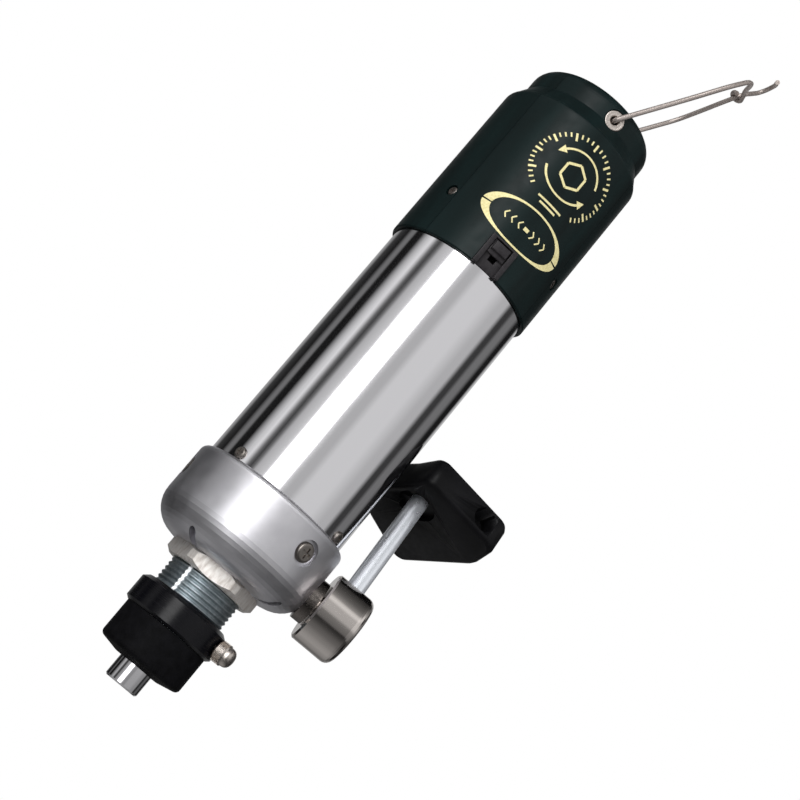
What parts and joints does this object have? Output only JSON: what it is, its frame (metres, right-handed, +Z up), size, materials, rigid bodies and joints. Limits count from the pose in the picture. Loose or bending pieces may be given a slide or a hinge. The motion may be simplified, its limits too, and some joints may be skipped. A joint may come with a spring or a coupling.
{
  "type": "electric torque screwdriver",
  "caption": "Inline electric torque screwdriver with push-to-start bit drive, adjustable clutch dial, hanging bail, side swivel handle and direction switch.",
  "frame": {"origin": "centre of the bit sleeve's mouth, at the lower end of the tool", "axes": "+Z up the tool's axis from the bit to the power socket, -Y the side with the direction switch, +X the side of the swivel handle"},
  "size_m": [0.0904, 0.0715, 0.2867],
  "materials": {
    "plated_steel": "bright",
    "cast_alloy": "satin",
    "machined_steel": "machined",
    "zinc_steel": "zinc plated",
    "nickel_nut": "brushed",
    "black_plastic": "matte",
    "black_anodised": "anodised",
    "cover_plastic": "satin",
    "spring_steel": "oiled",
    "bail_wire": "drawn",
    "gear_steel": "ground",
    "sintered_brass": "machined",
    "copper_wire": "enamelled",
    "carbon": "dull",
    "ferrite": "sintered",
    "board": "lacquered",
    "switch_plastic": "satin"
  },
  "bodies": {
    "housing": {"motor_tube": "plated_steel", "front_housing": "cast_alloy", "housing_screws": "plated_steel", "tube_screws": "plated_steel", "threaded_nose": "zinc_steel", "lock_nut": "nickel_nut", "front_cover": "cover_plastic", "rear_cover": "cover_plastic", "cover_screws": "spring_steel", "bail_eyelets": "plated_steel", "switch_frame": "switch_plastic", "direction_switch": "switch_plastic", "circuit_board": "board", "start_switch": "switch_plastic", "power_socket": "black_plastic", "socket_pins": "sintered_brass", "motor_can": "zinc_steel", "magnets": "ferrite", "motor_front_plate": "cast_alloy", "motor_rear_cap": "black_plastic", "carbon_brushes": "carbon", "motor_bearings": "gear_steel", "ring_gear": "gear_steel", "gear_plate": "cast_alloy", "output_bearing": "gear_steel", "handle_bush": "plated_steel", "clutch_spring": "spring_steel"},
    "slider": {"direction_slider": "switch_plastic"},
    "plunger": {"start_plunger": "switch_plastic"},
    "rotor": {"rotor_shaft": "gear_steel", "armature_core": "ferrite", "windings": "copper_wire", "commutator": "copper_wire"},
    "first_stage": {"first_carrier": "gear_steel"},
    "first_gear_a": {"first_planet_a": "gear_steel"},
    "first_gear_b": {"first_planet_b": "gear_steel"},
    "first_gear_c": {"first_planet_c": "gear_steel"},
    "output_stage": {"output_carrier": "gear_steel", "clutch_balls": "gear_steel"},
    "output_gear_a": {"output_planet_a": "gear_steel"},
    "output_gear_b": {"output_planet_b": "gear_steel"},
    "output_gear_c": {"output_planet_c": "gear_steel"},
    "clutch": {"clutch_plate": "gear_steel", "clutch_washer": "gear_steel"},
    "dial_washer": {"thrust_washer": "gear_steel"},
    "dial": {"torque_dial": "black_plastic", "scale_ring": "black_anodised", "ring_screw": "machined_steel"},
    "drive_spindle": {"spindle": "machined_steel", "push_rod": "machined_steel", "bit_balls": "gear_steel", "spindle_clips": "spring_steel", "sleeve_spring": "spring_steel"},
    "sleeve": {"bit_sleeve": "plated_steel"},
    "hanging_bail": {"bail": "bail_wire"},
    "swivel": {"swivel_barrel": "machined_steel", "swivel_clip": "spring_steel"},
    "handle": {"handle_rod": "plated_steel", "hand_knob": "black_plastic"}
  },
  "joints": [
    {"name": "rotor_spin", "type": "hinge", "parent": "housing", "child": "rotor", "pos_m": [0, 0, 0.12], "axis": [0, 0, 1], "continuous": true},
    {"name": "first_stage_spin", "type": "hinge", "parent": "housing", "child": "first_stage", "pos_m": [0, 0, 0.083], "axis": [0, 0, 1], "continuous": true},
    {"name": "output_spin", "type": "hinge", "parent": "housing", "child": "output_stage", "pos_m": [0, 0, 0.065], "axis": [0, 0, 1], "continuous": true},
    {"name": "first_gear_a_spin", "type": "hinge", "parent": "first_stage", "child": "first_gear_a", "pos_m": [0.0108, 0, 0.088], "axis": [0, 0, 1], "continuous": true},
    {"name": "first_gear_b_spin", "type": "hinge", "parent": "first_stage", "child": "first_gear_b", "pos_m": [-0.0054, 0.00935, 0.088], "axis": [0, 0, 1], "continuous": true},
    {"name": "first_gear_c_spin", "type": "hinge", "parent": "first_stage", "child": "first_gear_c", "pos_m": [-0.0054, -0.00935, 0.088], "axis": [0, 0, 1], "continuous": true},
    {"name": "output_gear_a_spin", "type": "hinge", "parent": "output_stage", "child": "output_gear_a", "pos_m": [0.0108, 0, 0.075], "axis": [0, 0, 1], "continuous": true},
    {"name": "output_gear_b_spin", "type": "hinge", "parent": "output_stage", "child": "output_gear_b", "pos_m": [-0.0054, 0.00935, 0.075], "axis": [0, 0, 1], "continuous": true},
    {"name": "output_gear_c_spin", "type": "hinge", "parent": "output_stage", "child": "output_gear_c", "pos_m": [-0.0054, -0.00935, 0.075], "axis": [0, 0, 1], "continuous": true},
    {"name": "clutch_release", "type": "slide", "parent": "output_stage", "child": "clutch", "axis": [0, 0, -1], "range_m": [0, 0.0015], "stiffness_N_per_m": 5000, "springref_m": -0.003},
    {"name": "spindle_push", "type": "slide", "parent": "output_stage", "child": "drive_spindle", "axis": [0, 0, 1], "range_m": [0, 0.0025], "stiffness_N_per_m": 500, "springref_m": -0.004},
    {"name": "sleeve_pull", "type": "slide", "parent": "drive_spindle", "child": "sleeve", "axis": [0, 0, 1], "range_m": [0, 0.0025], "stiffness_N_per_m": 300, "springref_m": -0.003, "deforming": ["sleeve_spring"]},
    {"name": "start_press", "type": "slide", "parent": "housing", "child": "plunger", "axis": [0, 0, 1], "range_m": [0, 0.0025]},
    {"name": "dial_travel", "type": "slide", "parent": "housing", "child": "dial_washer", "axis": [0, 0, 1], "range_m": [-0.003, 0.0045], "deforming": ["clutch_spring"]},
    {"name": "dial_turn", "type": "hinge", "parent": "dial_washer", "child": "dial", "pos_m": [0, 0, 0.018], "axis": [0, 0, 1], "range_deg": [-720, 1080]},
    {"name": "direction_slide", "type": "slide", "parent": "housing", "child": "slider", "axis": [0, 0, 1], "range_m": [-0.004, 0]},
    {"name": "bail_swing", "type": "hinge", "parent": "housing", "child": "hanging_bail", "pos_m": [0.002, 0, 0.2203], "axis": [0, 1, 0], "range_deg": [-121, 59]},
    {"name": "handle_swivel", "type": "hinge", "parent": "housing", "child": "swivel", "pos_m": [0.03506, -0.0043, 0.0526], "axis": [-0.9925, 0.1219, 0], "range_deg": [0, 110]},
    {"name": "knob_turn", "type": "hinge", "parent": "swivel", "child": "handle", "pos_m": [0.03506, -0.0043, 0.0526], "axis": [0.0457, 0.3718, 0.9272], "range_deg": [-70, 35]}
  ],
  "couplings": [
    {"joint": "first_stage_spin", "follows": "rotor_spin", "ratio": 0.22222},
    {"joint": "output_spin", "follows": "rotor_spin", "ratio": 0.049383},
    {"joint": "first_gear_a_spin", "follows": "rotor_spin", "ratio": -0.62222},
    {"joint": "output_gear_a_spin", "follows": "rotor_spin", "ratio": -0.13827},
    {"joint": "first_gear_b_spin", "follows": "rotor_spin", "ratio": -0.62222},
    {"joint": "output_gear_b_spin", "follows": "rotor_spin", "ratio": -0.13827},
    {"joint": "first_gear_c_spin", "follows": "rotor_spin", "ratio": -0.62222},
    {"joint": "output_gear_c_spin", "follows": "rotor_spin", "ratio": -0.13827},
    {"joint": "start_press", "follows": "spindle_push", "ratio": 1},
    {"joint": "dial_travel", "follows": "dial_turn", "m_per_rad": 0.00023873}
  ]
}
